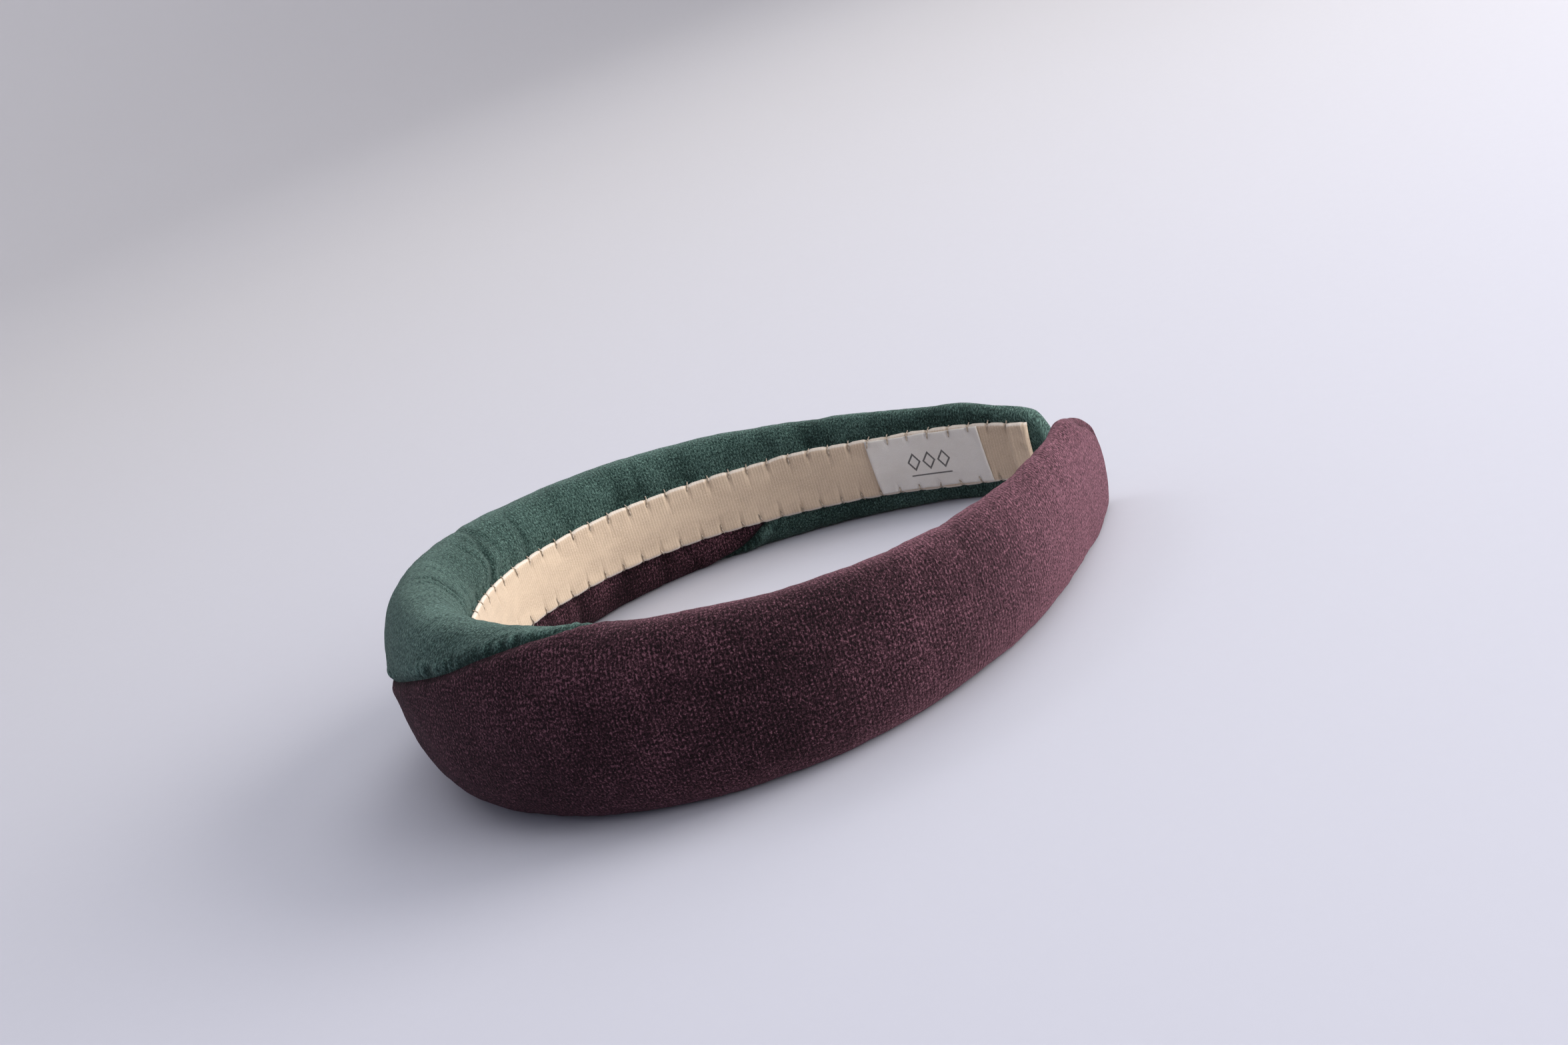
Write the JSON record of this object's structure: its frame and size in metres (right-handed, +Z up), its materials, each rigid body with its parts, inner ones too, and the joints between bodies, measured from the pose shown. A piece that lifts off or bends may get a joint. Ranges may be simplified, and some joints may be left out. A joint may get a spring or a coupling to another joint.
{
  "type": "padded headband",
  "caption": "Padded velvet headband: a slim U-shaped core band wrapped in foam and a two-colour velvet cover, with a sewn-in cotton lining and a small plain label.",
  "frame": {"origin": "centre of the bounding box's underside, on the table the headband lies on", "axes": "+Z up from the table with the headband lying on its side; +X from the crown to the open ends; -Y the burgundy arm, +Y the green arm"},
  "size_m": [0.1624, 0.1578, 0.0419],
  "materials": {
    "green_velvet": "short-pile velvet",
    "burgundy_velvet": "short-pile velvet",
    "dark_thread": "spun thread",
    "foam": "soft foam",
    "core_plastic": "matte",
    "lining_cotton": "fine cotton twill",
    "label_cloth": "thin woven tape",
    "pale_thread": "spun thread"
  },
  "bodies": {
    "root": {"velvet_cover_green": "green_velvet", "velvet_cover_burgundy": "burgundy_velvet", "panel_seam_thread": "dark_thread", "foam_pad": "foam", "core_band": "core_plastic", "lining_strip": "lining_cotton", "fabric_label": "label_cloth", "upper_hem_stitches": "pale_thread", "lower_hem_stitches": "pale_thread", "label_stitches": "pale_thread"}
  },
  "joints": []
}
